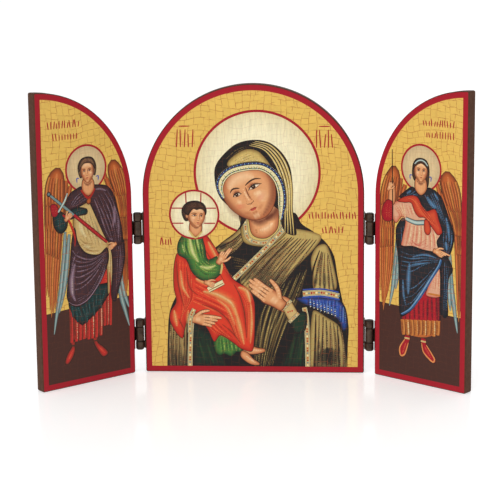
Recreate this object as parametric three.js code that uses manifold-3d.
// Three-panel folding altarpiece: an arched centre board and two half-arch wings on four butt hinges.
// Millimetres, +Z up. Origin: middle of the centre board's underside. Front faces look towards -Y.

import * as THREE from "three";
import { mergeVertices } from "three/addons/utils/BufferGeometryUtils.js";
import Module from "manifold-3d";

// Boards
const panelWidth = 150;
const panelHeight = 199;
const boardThickness = 8;
const edgeRound = 1; // radius along every edge of a board
const cornerExtra = 0.3; // by how much a corner of the outline is rounder than the edges
const closedGap = 1.8; // between the two wings when they are shut over the centre board
const archSegments = 56;
const cornerSegments = 3;
const edgeSegments = 2;

// How far each wing stands forward of the flat, open position, in degrees
const leftWingTurn = 42;
const rightWingTurn = 38;

// Hinges
const barrelRadius = 2.9;
const pinRadius = 1.4;
const pinClearance = 0.08;
const pinStand = 0.4; // pin axis in front of the boards' front faces, so that the wings shut flat
const headRadius = 2.3;
const headHeight = 0.6;
const domeRadius = 1.4; // flat middle of a pin's domed head
const endKnuckle = 5.3;
const middleKnuckle = 9.8;
const knuckleGap = 0.2;
const leafThickness = 0.65;
const leafGap = 0.1; // from a leaf to the board's edge it is screwed to
const runningGap = 0.1; // from a barrel to the flat of a leaf
const lowerHingeRise = 27; // hinge centre above the underside
const upperHingeDrop = 23; // hinge centre below the springing of the arch
const roundSegments = 20;

// Screws through the leaves into the boards' edges
const screwLength = 7;
const screwHeadRadius = 1.25;
const screwShankRadius = 0.65;
const screwPointRadius = 0.2;
const screwTaper = 1.6; // length of the point
const screwSpacing = 12;
const screwSlotWidth = 0.35;
const screwSlotDepth = 0.3;
const holeClearance = 0.1;
const holeSpare = 0.5; // hole deeper than the screw
const screwSegments = 10;

// Worked out from the sizes above
const archRadius = panelWidth / 2;
const springHeight = panelHeight - archRadius;
const wingWidth = (panelWidth - closedGap) / 2;
const cornerRound = edgeRound + cornerExtra;
const leafFace = barrelRadius + runningGap; // pin axis to the near face of a leaf
const leafSeat = leafThickness + leafGap; // near face of a leaf to the board's edge
const hingeReach = leafFace + leafSeat; // pin axis to the board's edge
const leafDepth = boardThickness - 2 * edgeRound; // the flat of a board's edge
const leafMiddle = pinStand + boardThickness / 2; // pin axis to the middle of the boards
const middleTop = middleKnuckle / 2;
const barrelTop = middleTop + knuckleGap + endKnuckle; // half of the barrel's length
const cutSpare = 1; // by how much a cutting shape runs past what it cuts
const hingeHeights = { upper: springHeight - upperHingeDrop, lower: lowerHingeRise };
const screwRises = { top: screwSpacing / 2, bottom: -screwSpacing / 2 };

const wasm = await Module();
wasm.setup();

// Closed geometry to a solid that can be cut and joined.
function solid(geometry, matrix) {
  const bare = geometry.clone().applyMatrix4(matrix);
  bare.deleteAttribute("normal");
  bare.deleteAttribute("uv");
  const merged = mergeVertices(bare, 1e-4);
  const mesh = new wasm.Mesh({
    numProp: 3,
    vertProperties: merged.attributes.position.array,
    triVerts: new Uint32Array(merged.index.array),
  });
  return new wasm.Manifold(mesh);
}

// A solid back to geometry with flat-shaded faces.
function geometryOf(made) {
  const mesh = made.getMesh();
  const geometry = new THREE.BufferGeometry();
  geometry.setAttribute("position", new THREE.BufferAttribute(mesh.vertProperties, 3));
  geometry.setIndex(new THREE.BufferAttribute(mesh.triVerts, 1));
  const faceted = geometry.toNonIndexed();
  faceted.computeVertexNormals();
  return faceted;
}

function placed(made, matrix) {
  return solid(geometryOf(made), matrix);
}

function moved(x, y, z) {
  return new THREE.Matrix4().makeTranslation(x, y, z);
}

function box(low, high) {
  const size = high.map((value, i) => value - low[i]);
  const middle = high.map((value, i) => (value + low[i]) / 2);
  return solid(new THREE.BoxGeometry(...size), moved(...middle));
}

// A piece turned about +Z, from a profile of [radius, height] pairs that starts and ends on the axis.
function turned(profile, segments) {
  const points = profile.map(([radius, height]) => new THREE.Vector2(radius, height));
  const upright = new THREE.Matrix4().makeRotationX(Math.PI / 2);
  return solid(new THREE.LatheGeometry(points, segments), upright);
}

// A round bar about +Z.
function bar(radius, low, high) {
  return turned([[0, low], [radius, low], [radius, high], [0, high]], roundSegments);
}

// The centre board's outline has a square foot and a half-round head.
function panelOutline() {
  const outline = new THREE.Shape();
  const side = archRadius - cornerRound;
  outline.absarc(-side, cornerRound, cornerRound, Math.PI, 1.5 * Math.PI, false);
  outline.absarc(side, cornerRound, cornerRound, 1.5 * Math.PI, 2 * Math.PI, false);
  outline.absarc(0, springHeight, archRadius, 0, Math.PI, false);
  return { outline, steps: archSegments };
}

// A wing's outline, from its hinged edge at x = 0 outwards: half of the centre board's outline,
// short of the middle by half of the closed gap.
function wingOutline() {
  const outline = new THREE.Shape();
  const far = wingWidth - cornerRound;
  const inner = archRadius - cornerRound;
  const cornerHeight = springHeight + Math.sqrt(inner ** 2 - (archRadius - far) ** 2);
  const turn = Math.atan2(cornerHeight - springHeight, far - archRadius);
  outline.absarc(cornerRound, cornerRound, cornerRound, Math.PI, 1.5 * Math.PI, false);
  outline.absarc(far, cornerRound, cornerRound, 1.5 * Math.PI, 2 * Math.PI, false);
  outline.absarc(far, cornerHeight, cornerRound, 0, turn, false);
  outline.absarc(archRadius, springHeight, archRadius, turn, Math.PI, false);
  return { outline, steps: archSegments / 2 };
}

// The points of an outline: few steps round a corner, many round the arch.
function pointsOf({ outline, steps }) {
  const arcs = outline.curves.filter((curve) => !curve.isLineCurve);
  const points = arcs.flatMap((arc) => arc.getPoints(arc.xRadius > cornerRound ? steps : cornerSegments));
  return points.filter((point, i) => point.distanceTo(points[(i + 1) % points.length]) > 1e-3);
}

// A board with rounded edges, its thickness centred on y = 0.
function board(outline) {
  const flat = boardThickness - 2 * edgeRound;
  const extruded = new THREE.ExtrudeGeometry(new THREE.Shape(pointsOf(outline)), {
    depth: flat,
    bevelEnabled: true,
    bevelThickness: edgeRound,
    bevelSize: edgeRound,
    bevelOffset: -edgeRound,
    bevelSegments: edgeSegments,
  });
  return solid(extruded, moved(0, flat / 2, 0).multiply(new THREE.Matrix4().makeRotationX(Math.PI / 2)));
}

// A screw and its hole stand on +Z, the point downwards and the face of the head at z = 0.
const screwSolid = turned(
  [
    [0, -screwLength],
    [screwPointRadius, -screwLength],
    [screwShankRadius, screwTaper - screwLength],
    [screwShankRadius, -leafThickness],
    [screwHeadRadius, 0],
    [0, 0],
  ],
  screwSegments,
).subtract(
  box(
    [-screwHeadRadius, -screwSlotWidth / 2, -screwSlotDepth],
    [screwHeadRadius, screwSlotWidth / 2, cutSpare],
  ),
);
const screwHole = turned(
  [
    [0, -screwLength - holeSpare],
    [screwShankRadius + holeClearance, -screwLength - holeSpare],
    [screwShankRadius + holeClearance, -leafThickness],
    [screwHeadRadius + holeClearance, 0],
    [screwHeadRadius + holeClearance, cutSpare],
    [0, cutSpare],
  ],
  screwSegments,
);

// Lays an upright screw or hole on its side, its point along +X for 1 and along -X for -1.
function pointing(way) {
  return new THREE.Matrix4().makeRotationY((-way * Math.PI) / 2);
}

// Cuts the pilot holes for the hinges into a board's edge at x = edge. The board lies on side `way` of it.
function drilled(made, edge, way) {
  let cut = made;
  for (const height of Object.values(hingeHeights)) {
    for (const rise of Object.values(screwRises)) {
      const place = moved(edge - way * leafSeat, 0, height + rise).multiply(pointing(way));
      cut = cut.subtract(placed(screwHole, place));
    }
  }
  return cut;
}

// A knuckle of the barrel about +Z with the strap that joins it to its leaf.
function knuckle(low, high) {
  const strap = box(
    [0, barrelRadius - leafThickness, low],
    [leafFace + leafThickness / 2, barrelRadius, high],
  );
  const bore = bar(pinRadius + pinClearance, low - cutSpare, high + cutSpare);
  return bar(barrelRadius, low, high).add(strap).subtract(bore);
}

// A hinge leaf with its knuckles. The pin is on the Z axis, and the leaf's board lies towards +X.
function leaf(knuckles) {
  const plate = box(
    [leafFace, leafMiddle - leafDepth / 2, -barrelTop],
    [leafFace + leafThickness, leafMiddle + leafDepth / 2, barrelTop],
  );
  let made = knuckles.reduce((joined, [low, high]) => joined.add(knuckle(low, high)), plate);
  for (const rise of Object.values(screwRises)) {
    const place = moved(leafFace, leafMiddle, rise).multiply(pointing(1));
    made = made.subtract(placed(screwHole, place));
  }
  return made;
}

const wingLeaf = leaf([[-middleTop, middleTop]]);
const panelLeaf = leaf([
  [-barrelTop, -middleTop - knuckleGap],
  [middleTop + knuckleGap, barrelTop],
]);

// The pin, with a low domed head at each end.
const headFoot = barrelTop + knuckleGap / 2;
const headTop = barrelTop + headHeight;
const pinSolid = turned(
  [
    [0, -headTop],
    [domeRadius, -headTop],
    [headRadius, -(headFoot + headTop) / 2],
    [headRadius, -headFoot],
    [pinRadius, -headFoot],
    [pinRadius, headFoot],
    [headRadius, headFoot],
    [headRadius, (headFoot + headTop) / 2],
    [domeRadius, headTop],
    [0, headTop],
  ],
  roundSegments,
);

const materials = {
  panelPaint: new THREE.MeshStandardMaterial({ color: 0xc59f55, roughness: 0.45, metalness: 0 }),
  wingPaint: new THREE.MeshStandardMaterial({ color: 0xb08a4a, roughness: 0.45, metalness: 0 }),
  bronze: new THREE.MeshStandardMaterial({ color: 0x3b2a22, roughness: 0.42, metalness: 0.8 }),
  screw: new THREE.MeshStandardMaterial({ color: 0x54402f, roughness: 0.38, metalness: 0.85 }),
};

function named(name, made, material) {
  const mesh = new THREE.Mesh(geometryOf(made), material);
  mesh.name = name;
  return mesh;
}

// One half of a hinge about its pin: a leaf and its screws, its board lying on side `way` of the pin.
// A leaf is alike above and below its middle, so half a turn about Y fits it to the other side.
function hingeHalf(label, made, way) {
  const half = new THREE.Group();
  half.rotation.y = way > 0 ? 0 : Math.PI;
  half.add(named(label + "_leaf", made, materials.bronze));
  for (const [end, rise] of Object.entries(screwRises)) {
    const screw = named(label + "_screw_" + end, screwSolid, materials.screw);
    screw.position.set(leafFace, leafMiddle, way * rise);
    screw.rotation.y = -Math.PI / 2;
    half.add(screw);
  }
  return half;
}

const panelBoard = drilled(drilled(board(panelOutline()), -archRadius, 1), archRadius, -1);
const wingBoard = drilled(board(wingOutline()), 0, 1);

const altarpiece = new THREE.Group();
altarpiece.add(named("centre_panel", panelBoard, materials.panelPaint));

for (const [name, way, turn] of [
  ["left", -1, leftWingTurn],
  ["right", 1, rightWingTurn],
]) {
  const pin = new THREE.Group();
  pin.position.set(way * (archRadius + hingeReach), -leafMiddle, 0);
  altarpiece.add(pin);

  const swing = new THREE.Group();
  swing.rotation.z = -way * THREE.MathUtils.degToRad(turn);
  pin.add(swing);

  // A wing is alike in front and behind, so half a turn about Z fits it to the other side.
  const wing = named(name + "_wing", wingBoard, materials.wingPaint);
  wing.position.set(way * hingeReach, leafMiddle, 0);
  wing.rotation.z = way > 0 ? 0 : Math.PI;
  swing.add(wing);

  for (const [level, height] of Object.entries(hingeHeights)) {
    const label = name + "_" + level + "_hinge";
    const pinPiece = named(label + "_pin", pinSolid, materials.bronze);
    const panelHalf = hingeHalf(label + "_panel", panelLeaf, -way);
    const wingHalf = hingeHalf(label + "_wing", wingLeaf, way);
    for (const piece of [pinPiece, panelHalf, wingHalf]) piece.position.z = height;
    pin.add(pinPiece, panelHalf);
    swing.add(wingHalf);
  }
}

export default altarpiece;
